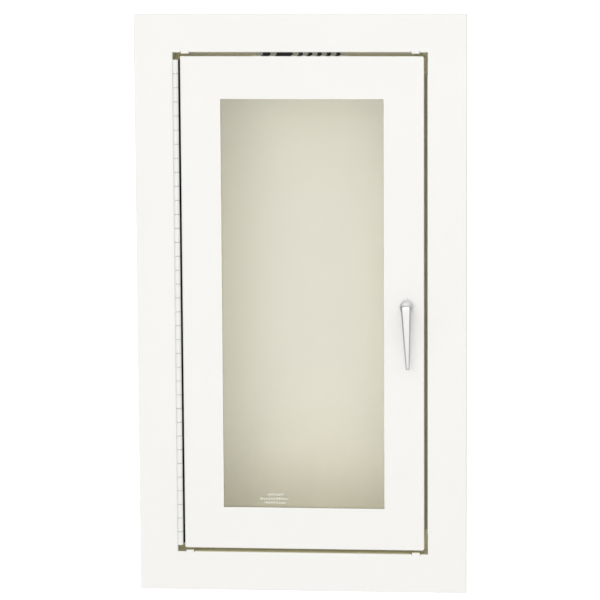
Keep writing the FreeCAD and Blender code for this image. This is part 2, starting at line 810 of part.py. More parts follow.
def hinge_door_leaf():
    """Joggled leaf: straight back from the barrel, then out against the door's left return."""
    body = new_body("hinge_door_leaf")
    leaf = new_sketch(body, "XY", z=hinge_bottom + knuckle_slit / 2)
    near_x = hinge_x + barrel_radius / 2
    bend_y = front + joggle_start
    land_y = front + joggle_end
    leaf_back = door_back - leaf_margin
    outline(leaf, (near_x, hinge_y), (near_x + hinge_sheet, hinge_y), (near_x + hinge_sheet, bend_y),
            (door_left, land_y - joggle_slope), (door_left, leaf_back),
            (door_left - hinge_sheet, leaf_back), (door_left - hinge_sheet, land_y),
            (near_x, bend_y + joggle_slope))
    pad(body, leaf, hinge_length - knuckle_slit)
    knuckles(body, 1, pin_radius + pin_clearance)
    hinge_rivet_holes(body, door_left - hinge_sheet, door_left)
    keep(body, "hinge_door_leaf")


def hinge_rivets(name, x, grip):
    """Column of rivets whose grip starts at x."""
    body = new_body(name)
    start = new_sketch(body, "XZ", x, rivet_y, hinge_rivet_low)
    rivet = turn(body, rivet_profile(start, grip), "H_Axis")
    repeat(body, [rivet], "Z", hinge_rivet_step, HINGE_RIVETS)
    keep(body, name)


def hinge():
    hinge_frame_leaf()
    hinge_door_leaf()
    keep(rod(hinge_x, hinge_y, hinge_bottom, "Z", pin_radius, hinge_length), "hinge_pin")
    hinge_rivets("frame_rivets", -tub_outer_x, tub_sheet + trim_sheet + hinge_sheet)
    hinge_rivets("door_rivets", door_left - hinge_sheet, hinge_sheet + trim_sheet)


# Pull handle ----------------------------------------------------------------------------------

BACK_SHARE = 0.92
END_FALL = 2
HEAD_NARROWING = ((0, 0.66), (0.5, 0.86), (1.3, 0.97), (2.4, 1.0))
TIP_NARROWING = ((1.4, 1.0), (0.5, 0.85), (0, 0.5))


def blade_section(body, drop, narrowing):
    """Six-sided section at a distance below the blade's top: flat front, bevelled shoulders, flat back.

    The width, front and back run evenly from the head to the tip; narrowing rounds off either end,
    where the front also falls back by END_FALL for each unit of narrowing.
    """
    along = drop / (blade_rise + blade_drop)
    half = (blade_head_width + (blade_tip_width - blade_head_width) * along) / 2 * narrowing
    forward = blade_head_front + (blade_tip_front - blade_head_front) * along
    forward = forward - (1 - narrowing) * END_FALL
    back = blade_head_back + (blade_tip_back - blade_head_back) * along
    bevel = blade_bevel * (1 - along.value / 2) * narrowing
    back_half = half * BACK_SHARE
    section = new_sketch(body, "XY", z=blade_rise - drop)
    return outline(section, (-back_half, -back), (back_half, -back), (half, -forward + bevel),
                   (half - bevel, -forward), (-half + bevel, -forward), (-half, -forward + bevel))


def pull_handle():
    """Round boss on the door's face with a blade that tapers down from it, modelled about the boss."""
    body = new_body("pull_handle")
    boss = new_sketch(body, "XY")
    outline(boss, (ZERO, ZERO), (boss_radius, ZERO), (boss_radius, -boss_length), (ZERO, -boss_length))
    turn(body, boss)
    fillet(body, lambda point: near(point.y, -boss_length), boss_dome)
    length = blade_rise + blade_drop
    ends = [(as_size(drop), narrowing) for drop, narrowing in HEAD_NARROWING]
    ends += [(length - rise, narrowing) for rise, narrowing in TIP_NARROWING]
    sections = [blade_section(body, drop, narrowing) for drop, narrowing in ends]
    blade = body.newObject("PartDesign::AdditiveLoft", "Blade")
    blade.Profile = sections[0]
    blade.Sections = sections[1:]
    blade.Ruled = True
    doc.recompute()
    pip = new_sketch(body, "XZ")
    circle(pip, ZERO, -pip_drop, pip_radius)
    pad(body, pip, trim_sheet, reverse=True)
    bore = new_sketch(body, "XZ")
    circle(bore, ZERO, ZERO, screw_radius)
    pocket(body, bore, screw_reach + OVERCUT, reverse=True)
    put(body, handle_x, front, ZERO)
    body.Placement = FreeCAD.Placement(body.Placement.Base, FreeCAD.Rotation(FreeCAD.Vector(0, 1, 0), 0))
    body.setExpression("Placement.Rotation.Angle", f"-{handle_lean.text} * 1 deg")
    keep(body, "pull_handle")


def handle_fixing():
    """Washer and pan-head screw that hold the boss from inside the door."""
    hole_radius = screw_radius + screw_clearance
    washer = cut(rod(handle_x, skin_back, ZERO, "Y", washer_radius, washer_thickness),
                 rod(handle_x, skin_back, ZERO, "Y", hole_radius, washer_thickness))
    keep(washer, "handle_washer")
    head_front = skin_back + washer_thickness
    head = rod(handle_x, head_front, ZERO, "Y", screw_head_radius, screw_head_height)
    shank_front = front - screw_reach
    shank = rod(handle_x, shank_front, ZERO, "Y", screw_radius, head_front - shank_front)
    slot_front = head_front + screw_head_height - screw_slot_depth
    slot = block(handle_x - screw_slot_width / 2, slot_front, -screw_head_radius,
                 screw_slot_width, screw_slot_depth, screw_head_radius * 2)
    keep(cut(fuse(head, shank), slot), "handle_screw")


# Catch ----------------------------------------------------------------------------------------

arm_right = arm_left + arm_width
spear_x = arm_left + arm_width / 2
cheek_left = arm_left - cheek_gap - bracket_sheet
pivot_y = front + pivot_depth
roller_y = front + roller_depth
roller_rise = roller_radius + roller_gap / 2
web_back = pivot_y + web_setback
bracket_screw_y = pivot_y - bracket_screw_setback


def catch_bracket():
    """Bent bracket: a cheek on each side of the arms, joined by a web; the right one is screwed on."""
    body = new_body("catch_bracket")
    profile = new_sketch(body, "XY", z=catch_height - bracket_half_height)
    wall = tub_inner_x
    cheek_front = pivot_y - cheek_reach
    flange_front = pivot_y - flange_reach
    web_front = web_back - bracket_sheet
    outline(profile, (cheek_left, cheek_front), (cheek_left + bracket_sheet, cheek_front),
            (cheek_left + bracket_sheet, web_front), (wall - bracket_sheet, web_front),
            (wall - bracket_sheet, flange_front), (wall, flange_front), (wall, web_back),
            (cheek_left, web_back))
    pad(body, profile, bracket_half_height * 2)
    holes = new_sketch(body, "YZ", x=cheek_left - OVERCUT)
    for end in (-1, 1):
        circle(holes, pivot_y, catch_height + pivot_rise * end, pin_radius)
        circle(holes, bracket_screw_y, catch_height + pivot_rise * end, catch_screw_radius)
    pocket(body, holes, wall - cheek_left + OVERCUT * 2, reverse=True)
    keep(body, "catch_bracket")


def shouldered_pins():
    """Pivot pins across the bracket, with a shoulder that keeps the arms to one side."""
    pins = []
    for end in (-1, 1):
        z = catch_height + pivot_rise * end
        shoulder_x = arm_right + pin_shoulder_gap
        shoulder_length = tub_inner_x - bracket_sheet - shoulder_x
        pin = rod(cheek_left, pivot_y, z, "X", pin_radius, tub_inner_x - cheek_left)
        shoulder = rod(shoulder_x, pivot_y, z, "X", pin_radius + pin_shoulder, shoulder_length)
        pins.append(fuse(pin, shoulder))
    keep(together(*pins), "catch_pivot_pins")


def bracket_screws():
    """Two screws in the bracket's flange, with their heads inside the tub."""
    screws = []
    flange_x = tub_inner_x - bracket_sheet
    for end in (-1, 1):
        z = catch_height + pivot_rise * end
        head = rod(flange_x - catch_screw_head_height, bracket_screw_y, z, "X", catch_screw_head,
                   catch_screw_head_height)
        shank = rod(flange_x, bracket_screw_y, z, "X", catch_screw_radius, bracket_sheet)
        screws.append(fuse(head, shank))
    keep(together(*screws), "bracket_screws")


def arm_springs():
    """Torsion springs round the shoulders of the pivot pins: close coils and a leg to the web."""
    springs = []
    coil_inside = pin_radius + pin_shoulder + spring_clearance
    coil_length = spring_wire * 3
    start = arm_right + spring_start
    leg_length = web_back - bracket_sheet - spring_clearance - pivot_y
    for end in (-1, 1):
        z = catch_height + pivot_rise * end
        coils = cut(rod(start, pivot_y, z, "X", coil_inside + spring_wire, coil_length),
                    rod(start, pivot_y, z, "X", coil_inside, coil_length))
        leg_z = z + (coil_inside + spring_wire / 2) * end - spring_wire / 2
        leg = block(start + spring_wire, pivot_y, leg_z, spring_wire, leg_length, spring_wire)
        springs.append(fuse(coils, leg))
    keep(together(*springs), "catch_springs")


def catch_arm(name, end):
    """Forked arm from its pivot hub to its roller, above (end 1) or below (end -1) the spear."""
    pivot_z = catch_height + pivot_rise * end
    roller_z = catch_height + roller_rise * end
    body = new_body(name)
    inner = roller_z - arm_edge * end
    outer = roller_z + arm_half_height * end
    for x in (arm_left, arm_right - arm_plate):
        plate = new_sketch(body, "YZ", x=x)
        outline(plate, (roller_y - arm_tip, inner), (roller_y + arm_tip, inner),
                (pivot_y, pivot_z - arm_half_height * end), (pivot_y, pivot_z + arm_half_height * end),
                (roller_y + arm_tip, outer), (roller_y - arm_tip, outer))
        pad(body, plate, arm_plate)
    hub = new_sketch(body, "YZ", x=arm_left)
    circle(hub, pivot_y, pivot_z, hub_radius)
    pad(body, hub, arm_width)
    bore = new_sketch(body, "YZ", x=arm_left - OVERCUT)
    circle(bore, pivot_y, pivot_z, pin_radius + pin_clearance)
    circle(bore, roller_y, roller_z, roller_pin)
    pocket(body, bore, arm_width + OVERCUT * 2, reverse=True)
    keep(body, name)


def roller(name, pin_name, end):
    """Roller between the arm's two plates, and the pin it turns on."""
    z = catch_height + roller_rise * end
    x = arm_left + arm_plate + roller_side_gap
    width = arm_width - (arm_plate + roller_side_gap) * 2
    body = cut(rod(x, roller_y, z, "X", roller_radius, width), rod(x, roller_y, z, "X", roller_bore, width))
    keep(body, name)
    keep(rod(arm_left, roller_y, z, "X", roller_pin, arm_width), pin_name)


def catch_spear():
    """Plate on the door's back flange with a tongue that widens behind the rollers and then tapers."""
    body = new_body("catch_spear")
    base = new_sketch(body, "XZ", y=door_back)
    rectangle(base, arm_left - spear_side, catch_height - spear_half_height,
              arm_right + spear_side, catch_height + spear_half_height)
    pad(body, base, spear_sheet, reverse=True)
    tongue = new_sketch(body, "YZ", x=arm_left + tongue_inset)
    neck_end = roller_y + neck_past_roller
    barb_start = neck_end + barb_ramp
    barb_end = barb_start + barb_flat
    upper = [(door_back, neck_half), (neck_end, neck_half), (barb_start, barb_half),
             (barb_end, barb_half), (barb_end + point_length, point_half)]
    lower = [(y, -half) for y, half in reversed(upper)]
    outline(tongue, *[(y, catch_height + half) for y, half in upper + lower])
    pad(body, tongue, arm_width - tongue_inset * 2)
    holes = new_sketch(body, "XZ", y=door_back)
    for end in (-1, 1):
        circle(holes, spear_x, catch_height + spear_screw_rise * end, catch_screw_radius)
    pocket(body, holes, spear_sheet + OVERCUT)
    keep(body, "catch_spear")
    screws = []
    for end in (-1, 1):
        z = catch_height + spear_screw_rise * end
        head_front = door_back + spear_sheet
        shank_front = door_back - trim_sheet - catch_screw_end
        head = rod(spear_x, head_front, z, "Y", catch_screw_head, catch_screw_head_height)
        shank = rod(spear_x, shank_front, z, "Y", catch_screw_radius, head_front - shank_front)
        screws.append(fuse(head, shank))
    keep(together(*screws), "spear_screws")


def catch():
    catch_bracket()
    shouldered_pins()
    bracket_screws()
    arm_springs()
    for side, end in (("upper", 1), ("lower", -1)):
        catch_arm(side + "_catch_arm", end)
        roller(side + "_roller", side + "_roller_pin", end)
    catch_spear()


# Build ----------------------------------------------------------------------------------------

def build():
    doc.recompute()
    tub_shell()
    tub_cap("tub_top", 1)
    tub_cap("tub_bottom", -1)
    tub_rivets()
    trim_frame()
    door_stop("stop_top", 1)
    door_stop("stop_bottom", -1)
    strike_stop()
    bumpers()
    labels()
    door_panel()
    glazing()
    retainers()
    studs_and_nuts()
    hinge()
    pull_handle()
    handle_fixing()
    catch()
    doc.recompute()


def check():
    """Stop on a failed object or a sub-part whose shape is missing or not valid."""
    for item in doc.Objects:
        if "Invalid" in item.State or "Error" in item.State:
            raise RuntimeError(f"{item.Name} ({item.TypeId}) failed: {item.State}")
    for node in nodes:
        if node.Shape.isNull() or not node.Shape.isValid() or not node.Shape.Solids:
            raise RuntimeError(f"{node.Label}: shape is null, not valid or has no solid")


def export():
    os.makedirs("parts", exist_ok=True)
    for node in nodes:
        node.Shape.exportStep(f"parts/{node.Label}.step")
        print(f"{node.Label}: {len(node.Shape.Solids)} solid(s), {node.Shape.Volume:.1f} mm3")


build()
check()
export()
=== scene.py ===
"""Looks of a recessed fire extinguisher cabinet: enamelled steel, a window, a pull and a roller catch."""
import json
import math

import bmesh
import bpy
from mathutils import Matrix, Vector


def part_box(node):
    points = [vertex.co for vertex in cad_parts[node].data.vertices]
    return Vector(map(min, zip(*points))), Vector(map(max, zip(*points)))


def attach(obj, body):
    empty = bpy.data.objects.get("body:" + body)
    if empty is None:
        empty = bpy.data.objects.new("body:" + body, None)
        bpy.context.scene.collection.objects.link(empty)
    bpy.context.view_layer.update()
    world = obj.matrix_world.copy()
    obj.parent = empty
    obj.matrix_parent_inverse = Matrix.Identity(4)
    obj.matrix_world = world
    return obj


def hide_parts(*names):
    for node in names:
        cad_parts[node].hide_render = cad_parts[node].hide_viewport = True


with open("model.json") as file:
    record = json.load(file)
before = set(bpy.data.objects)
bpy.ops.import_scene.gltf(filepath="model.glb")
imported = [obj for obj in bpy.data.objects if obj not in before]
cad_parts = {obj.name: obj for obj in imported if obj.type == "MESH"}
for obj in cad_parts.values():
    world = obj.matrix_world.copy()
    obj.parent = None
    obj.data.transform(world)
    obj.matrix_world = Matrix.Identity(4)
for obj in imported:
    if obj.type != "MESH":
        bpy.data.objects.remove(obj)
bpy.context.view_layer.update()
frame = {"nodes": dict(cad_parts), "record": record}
MM = 0.001
QUARTER_TURN = math.pi / 2
FULL_TURN = 2 * math.pi

trim_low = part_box("trim_frame")[0]
front_y = trim_low.y


# Node-tree helpers ----------------------------------------------------------------------------

class Tree:
    """Adds shader nodes to a material, lamp or world; inputs may be values or other nodes' outputs."""

    def __init__(self, owner):
        self.owner = owner
        owner.use_nodes = True
        self.nodes = owner.node_tree.nodes
        self.links = owner.node_tree.links

    def add(self, kind, settings=None, **inputs):
        node = self.nodes.new("ShaderNode" + kind)
        for key, value in (settings or {}).items():
            setattr(node, key, value)
        for key, value in inputs.items():
            self.feed(node.inputs[key.replace("_", " ")], value)
        return node

    def feed(self, socket, value):
        if isinstance(value, bpy.types.NodeSocket):
            self.links.new(value, socket)
        elif isinstance(value, tuple) and len(value) == 3 and socket.type == "RGBA":
            socket.default_value = (*value, 1)
        else:
            socket.default_value = value

    def place(self):
        return self.add("TexCoord").outputs["Object"]

    def noise(self, scale, detail=3.0, rough=0.5, stretch=(1, 1, 1)):
        stretched = self.add("Mapping", Vector=self.place(), Scale=stretch)
        return self.add("TexNoise", Vector=stretched.outputs[0], Scale=scale, Detail=detail,
                        Roughness=rough).outputs["Fac"]

    def spread(self, value, low, high, start=0.3, end=0.7, kind="LINEAR"):
        """Map start to end, by default a pattern's usual range, onto low to high."""
        node = self.add("MapRange", {"interpolation_type": kind}, Value=value)
        node.inputs["From Min"].default_value = start
        node.inputs["From Max"].default_value = end
        node.inputs["To Min"].default_value = low
        node.inputs["To Max"].default_value = high
        return node.outputs["Result"]

    def mix(self, share, first, second):
        factor, first_colour, second_colour, colour_out = 0, 6, 7, 2
        node = self.add("Mix", {"data_type": "RGBA"})
        self.feed(node.inputs[factor], share)
        self.feed(node.inputs[first_colour], first)
        self.feed(node.inputs[second_colour], second)
        return node.outputs[colour_out]

    def math(self, operation, first, second=0.0):
        node = self.add("Math", {"operation": operation})
        self.feed(node.inputs[0], first)
        self.feed(node.inputs[1], second)
        return node.outputs[0]

    def product(self, *factors):
        total = factors[0]
        for factor in factors[1:]:
            total = self.math("MULTIPLY", total, factor)
        return total

    def within(self, value, low, high):
        """1 where the value lies between low and high, else 0."""
        return self.product(self.math("GREATER_THAN", value, low), self.math("LESS_THAN", value, high))

    def bump(self, height, distance, strength=1.0):
        return self.add("Bump", Height=height, Distance=distance, Strength=strength).outputs[0]


class Finish(Tree):
    """Tree of a new material."""

    def __init__(self, name):
        super().__init__(bpy.data.materials.new(name))
        self.nodes.clear()
        self.output = self.add("OutputMaterial")

    def show(self, shader):
        self.feed(self.output.inputs["Surface"], shader.outputs[0])
        return self.owner

    def surface(self, base, roughness, normal=None, **plain):
        shader = self.add("BsdfPrincipled", Base_Color=base, Roughness=roughness, **plain)
        if normal is not None:
            self.feed(shader.inputs["Normal"], normal)
        return self.show(shader)

    def blend(self, share, first, second):
        """Shader that is the first where share is 0 and the second where it is 1."""
        both = self.add("MixShader")
        self.feed(both.inputs[0], share)
        self.feed(both.inputs[1], first.outputs[0])
        self.feed(both.inputs[2], second.outputs[0])
        return both


def darker(colour, share):
    return tuple(channel * share for channel in colour)


# Materials ------------------------------------------------------------------------------------

# The inner colour covers what lies inside these half-widths, from just behind the front plane: a beige
# coat on the white enamel, painted shade on the hinge leaves and the stop.
OPENING_X = 118 * MM
OPENING_Z = 232 * MM
INNER_START = 0.9 * MM
INNER_FULL = 1.15 * MM
INNER_FADE = 1.5 * MM


def enamel(name, colour, inner, reach, sheen=0.36):
    """Baked enamel with a faint orange peel; inside the opening, another colour as deep as reach, a
    second coat for the white enamel and painted shade for the hinge leaves and the stop.
    """
    tree = Finish(name)
    coat = tree.mix(tree.spread(tree.noise(9.0, 2.0), 0.0, 1.0), colour, darker(colour, 0.985))
    split = tree.add("SeparateXYZ", Vector=tree.place())
    depth = split.outputs["Y"]
    behind = tree.spread(depth, 0.0, 1.0, front_y + INNER_START, front_y + INNER_FULL)
    near = tree.spread(depth, 1.0, 0.0, front_y + reach, front_y + reach + INNER_FADE)
    across = tree.math("LESS_THAN", tree.math("ABSOLUTE", split.outputs["X"]), OPENING_X)
    upward = tree.math("LESS_THAN", tree.math("ABSOLUTE", split.outputs["Z"]), OPENING_Z)
    base = tree.mix(tree.product(behind, near, across, upward), coat, inner)
    peel = tree.noise(700.0, 2.0, 0.4)
    wave = tree.noise(120.0, 2.0, 0.4)
    height = tree.math("ADD", peel, tree.math("MULTIPLY", wave, 1.6))
    rough = tree.spread(tree.noise(260.0, 3.0), sheen - 0.04, sheen + 0.05)
    return tree.surface(base, rough, tree.bump(height, 0.02 * MM, 0.35))


TUB_MIDDLE_X = 85 * MM
TUB_MIDDLE_Z = 200 * MM
BACK_SKIN_MIDDLE = -0.4 * MM


def tub_enamel():
    """Coat of the tub with a soft mottle, and painted light: greyer and darker in the middle of the
    back's inside, yellower towards its rim.
    """
    tree = Finish("tub_enamel")
    mottle = tree.spread(tree.noise(22.0, 4.0, 0.6), 0.0, 1.0)
    split = tree.add("SeparateXYZ", Vector=tree.place())
    across = tree.math("DIVIDE", tree.math("ABSOLUTE", split.outputs["X"]), TUB_MIDDLE_X)
    upward = tree.math("DIVIDE", tree.math("ABSOLUTE", split.outputs["Z"]), TUB_MIDDLE_Z)
    from_middle = tree.spread(tree.math("MAXIMUM", across, upward), 0.0, 1.0, 0.25, 1.15)
    outside = tree.math("GREATER_THAN", split.outputs["Y"], BACK_SKIN_MIDDLE)
    # Painted light: the middle of the back's inside is greyer and darker, the rim and the outside
    # yellower and lighter.
    middle = tree.mix(mottle, (0.85, 0.808, 0.715), (0.835, 0.792, 0.695))
    rim = tree.mix(mottle, (0.96, 0.925, 0.74), (0.945, 0.91, 0.72))
    base = tree.mix(tree.math("MAXIMUM", from_middle, outside), middle, rim)
    rough = tree.spread(tree.noise(180.0, 3.0), 0.42, 0.52)
    return tree.surface(base, rough, tree.bump(tree.noise(600.0, 2.0), 0.02 * MM, 0.4))


def plated(name, colour, roughness, grain=(1, 1, 12)):
    """Zinc or nickel plate over drawn or cast metal, with a faint directional grain."""
    tree = Finish(name)
    lines = tree.noise(900.0, 3.0, 0.6, grain)
    base = tree.mix(tree.spread(tree.noise(60.0, 3.0), 0.0, 1.0), colour, darker(colour, 0.9))
    rough = tree.spread(lines, roughness * 0.8, roughness * 1.25)
    return tree.surface(base, rough, tree.bump(lines, 0.004 * MM, 0.3), Metallic=1.0)


# Each row of the stamp is (height, left end, right end), in millimetres from the window's middle.
STAMP_ROWS = ((-175.0, -32.1, -17.6), (-178.9, -38.8, -13.3), (-182.7, -35.5, -15.6))
STAMP_ROW_HALF = 0.9
STAMP_DASH = 2.3
STAMP_GAP_LEVEL = -0.3
STAMP_STRENGTH = 0.42


def stamp_mask(tree):
    """Three etched rows of plain dashes near the pane's lower left corner."""
    split = tree.add("SeparateXYZ", Vector=tree.place())
    across, up = split.outputs["X"], split.outputs["Z"]
    wave = tree.math("SINE", tree.math("MULTIPLY", across, FULL_TURN / (STAMP_DASH * MM)))
    dash = tree.math("GREATER_THAN", wave, STAMP_GAP_LEVEL)
    total = 0.0
    for height, left, right in STAMP_ROWS:
        row = tree.within(up, (height - STAMP_ROW_HALF) * MM, (height + STAMP_ROW_HALF) * MM)
        span = tree.within(across, left * MM, right * MM)
        total = tree.math("ADD", tree.product(row, span), total)
    return tree.product(total, dash, STAMP_STRENGTH)


def pane_glass():
    """Clear float glass that lets lamps through, with a small etched stamp."""
    tree = Finish("window_glass")
    smear = tree.spread(tree.noise(30.0, 3.0), 0.0, 0.03)
    glass = tree.add("BsdfPrincipled", Base_Color=(0.976, 0.979, 0.966), Transmission_Weight=1.0, IOR=1.5,
                     Roughness=smear, Normal=tree.bump(tree.noise(14.0, 1.0), 0.02 * MM, 0.15))
    etched = tree.add("BsdfDiffuse", Color=(0.97, 0.955, 0.86))
    stamped = tree.blend(stamp_mask(tree), glass, etched)
    clear = tree.add("BsdfTransparent", Color=(0.94, 0.945, 0.925))
    lamp_ray = tree.add("LightPath").outputs["Is Shadow Ray"]
    return tree.show(tree.blend(lamp_ray, stamped, clear))


def soft(name, colour, roughness, scale=400.0, depth=0.05):
    """Rubber, foam or moulded nylon with a fine grain."""
    tree = Finish(name)
    grain = tree.noise(scale, 3.0)
    base = tree.mix(tree.spread(grain, 0.0, 1.0), colour, darker(colour, 0.85))
    rough = tree.spread(tree.noise(scale / 3, 2.0), roughness - 0.05, roughness + 0.05)
    return tree.surface(base, rough, tree.bump(grain, depth * MM, 0.4))


def pull_plate():
    """Bright plate on the pull, with painted shade: its flat front is a little darker than its bevels and
    sides, by the way each face points.
    """
    tree = Finish("pull_plate")
    facing = tree.add("SeparateXYZ", Vector=tree.add("TexCoord").outputs["Normal"])
    forward = tree.math("MULTIPLY", facing.outputs["Y"], -1.0)
    front = tree.spread(forward, 0.0, 1.0, 0.8, 0.985)
    lines = tree.noise(1400.0, 3.0, 0.6, (1, 1, 0.06))
    # Colour set by facing: the flat front is painted a shade darker than the bevels and sides.
    base = tree.mix(front, (0.62, 0.62, 0.61), (0.6, 0.6, 0.593))
    rough = tree.spread(lines, 0.26, 0.38)
    return tree.surface(base, rough, tree.bump(lines, 0.004 * MM, 0.25), Metallic=1.0)


# Each dark block of the label is (left end, right end), in millimetres from the middle.
LABEL_BLOCKS = ((-35.0, -28.0), (-22.5, -8.0), (-2.5, 1.3), (6.0, 9.8), (14.5, 18.3), (23.0, 26.8),
                (31.5, 35.3))
LABEL_INK = (0.012, 0.012, 0.01)


def foil_label():
    """Pale foil with a row of plain dark blocks and no words."""
    tree = Finish("label")
    across = tree.add("SeparateXYZ", Vector=tree.place()).outputs["X"]
    printed = 0.0
    for left, right in LABEL_BLOCKS:
        printed = tree.math("ADD", tree.within(across, left * MM, right * MM), printed)
    grain = tree.spread(tree.noise(300.0, 3.0), 0.0, 1.0)
    paper = tree.mix(grain, (0.98, 0.975, 0.87), (0.95, 0.945, 0.84))
    base = tree.mix(printed, paper, LABEL_INK)
    return tree.surface(base, 0.45, tree.bump(grain, 0.01 * MM, 0.3))


ENAMEL = (0.868, 0.86, 0.828)
PRIMER = (0.90, 0.865, 0.66)
# Dark olive on the stop strip inside the opening: painted shade in the gap beside the door's free edge.
STOP_PAINTED_SHADE = (0.5, 0.485, 0.37)
# Near black on the hinge leaves from just behind the front plane to 9 mm deep: painted shade in the gap
# beside the barrel.
HINGE_SHADE = (0.012, 0.012, 0.01)
WHOLE_DEPTH = 150 * MM
HINGE_SHADE_DEPTH = 9 * MM
finishes = {
    "white_enamel": enamel("white_enamel", ENAMEL, PRIMER, WHOLE_DEPTH),
    "hinge_enamel_painted_shade": enamel("hinge_enamel_painted_shade", ENAMEL, HINGE_SHADE, HINGE_SHADE_DEPTH),
    "stop_enamel_painted_shade": enamel("stop_enamel_painted_shade", ENAMEL, STOP_PAINTED_SHADE, WHOLE_DEPTH),
    "tub_enamel": tub_enamel(),
    "zinc": plated("zinc", (0.62, 0.62, 0.61), 0.32),
    "polished_zinc": pull_plate(),
    "boss_plate": plated("boss_plate", (0.8, 0.8, 0.795), 0.55, (1, 1, 1)),
    "window_glass": pane_glass(),
    "foam": soft("foam", (0.05, 0.05, 0.048), 0.9, 900.0, 0.12),
    "rubber": soft("rubber", (0.06, 0.06, 0.058), 0.7),
    "nylon": soft("nylon", (0.82, 0.81, 0.74), 0.45),
    "spring_steel": plated("spring_steel", (0.42, 0.42, 0.41), 0.3),
    "label": foil_label(),
}
OWN_FINISH = {"hinge_frame_leaf": "hinge_enamel_painted_shade", "hinge_door_leaf": "hinge_enamel_painted_shade",
              "stop_strike": "stop_enamel_painted_shade"}


def finish_nodes():
    """Give every CAD node the procedural material of its slot, or its own variant of it."""
    for entry in frame["record"]["subparts"]:
        node = frame["nodes"][entry["node"]]
        node.data.materials.clear()
        node.data.materials.append(finishes[OWN_FINISH.get(entry["node"], entry["material_slot"])])


# Mesh helpers ---------------------------------------------------------------------------------

def new_piece(name, mesh, material, body, sharp=None):
    """Link a mesh as a piece that rides a CAD body, smooth except at edges sharper than an angle."""
    for face in mesh.polygons:
        face.use_smooth = True
    if sharp:
        mesh.set_sharp_from_angle(angle=math.radians(sharp))
    mesh.materials.append(material)
    piece = bpy.data.objects.new(name, mesh)
    bpy.context.scene.collection.objects.link(piece)
    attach(piece, body)
    return piece


def skin_rings(name, rings):
    """Mesh over a list of rings of equally many points, with a cap at each end."""
    mesh = bpy.data.meshes.new(name)
    shape = bmesh.new()
    rows = [[shape.verts.new(point) for point in ring] for ring in rings]
    count = len(rows[0])
    for lower, upper in zip(rows, rows[1:]):
        for index in range(count):
            after = (index + 1) % count
            shape.faces.new((lower[index], lower[after], upper[after], upper[index]))
    shape.faces.new(rows[0])
    shape.faces.new(rows[-1])
    bmesh.ops.recalc_face_normals(shape, faces=shape.faces)
    shape.to_mesh(mesh)
    shape.free()
    return mesh


def circle(centre, side, other, radius, count):
    """Points of a circle in the plane of two directions at right angles."""
    angles = [FULL_TURN * step / count for step in range(count)]
    return [centre + (side * math.cos(angle) + other * math.sin(angle)) * radius for angle in angles]


def round_corners(corners, radius, steps=4):
    """Replace each corner of a flat outline by a run of points on a curve that touches both sides."""
    points = []
    most = 0.45
    count = len(corners)
    for index, corner in enumerate(corners):
        before = corners[index - 1] - corner
        after = corners[(index + 1) % count] - corner
        reach = min(radius, before.length * most, after.length * most)
        start = corner + before.normalized() * reach
        end = corner + after.normalized() * reach
        for step in range(steps + 1):
            share = step / steps
            points.append(start.lerp(corner, share).lerp(corner.lerp(end, share), share))
    return points


def lathe(name, profile, origin, axis, turns=48):
    """Surface of revolution: profile is (distance along the axis, radius) from one end to the other."""
    axis = Vector(axis).normalized()
    side = axis.orthogonal().normalized()
    other = axis.cross(side)
    return skin_rings(name, [circle(origin + axis * along, side, other, radius, turns)
                             for along, radius in profile])


def tube(name, path, radius, sides=10):
    """Round wire along a path of points."""
    rings = []
    guide = Vector((0.3, 0.5, 0.8)).normalized()
    for index, point in enumerate(path):
        ahead = path[min(index + 1, len(path) - 1)] - path[max(index - 1, 0)]
        ahead.normalize()
        guide = (guide - ahead * guide.dot(ahead)).normalized()
        rings.append(circle(point, guide, ahead.cross(guide), radius, sides))
    return skin_rings(name, rings)


# Pull, in millimetres about the boss's axis ---------------------------------------------------

BLADE_RISE = 2.3
BLADE_DROP = 56.5
BLADE_LENGTH = BLADE_RISE + BLADE_DROP
BLADE_ARRIS = 0.22
BLADE_BACK_SHARE = 0.92
BLADE_SECTIONS = 24
END_SECTIONS = 8
END_ROUNDNESS = 0.8
HEAD_WIDTH = 9.4
HEAD_BEVEL = 1.3
HEAD_FRONT = 17.0
HEAD_BACK = 10.5
HEAD_ROUND = 2.6
HEAD_END_SHARE = 0.42
HEAD_FALL = 1.3
TIP_WIDTH = 3.3
TIP_BEVEL = 0.75
TIP_FRONT = 13.0
TIP_BACK = 9.5
TIP_ROUND = 1.5
TIP_END_SHARE = 0.45
TIP_FALL = 0.9
BOSS_RADIUS = 6.0
BOSS_LENGTH = 12.0
BOSS_SEAT_RADIUS = 5.2
BOSS_SEAT_RISE = 0.02
DOME_RISE = 3.2
DOME_FLAT = 0.3
DOME_STEPS = 12
HANDLE_LEAN = math.radians(1.4)
HANDLE_X = 95.6


def blend_sizes(head, tip, share):
    return head + (tip - head) * share


def blade_ring(drop, narrowing, fall):
    """Section of the blade at a distance below its top."""
    share = drop / BLADE_LENGTH
    half = blend_sizes(HEAD_WIDTH, TIP_WIDTH, share) / 2 * narrowing
    front = blend_sizes(HEAD_FRONT, TIP_FRONT, share) - fall
    back = blend_sizes(HEAD_BACK, TIP_BACK, share)
    bevel = blend_sizes(HEAD_BEVEL, TIP_BEVEL, share) * narrowing
    back_half = half * BLADE_BACK_SHARE
    corners = [Vector((-back_half, -back)), Vector((back_half, -back)),
               Vector((half, -front + bevel)), Vector((half - bevel, -front)),
               Vector((-half + bevel, -front)), Vector((-half, -front + bevel))]
    outline = round_corners(corners, BLADE_ARRIS)
    return [Vector((point.x, point.y, BLADE_RISE - drop)) for point in outline]


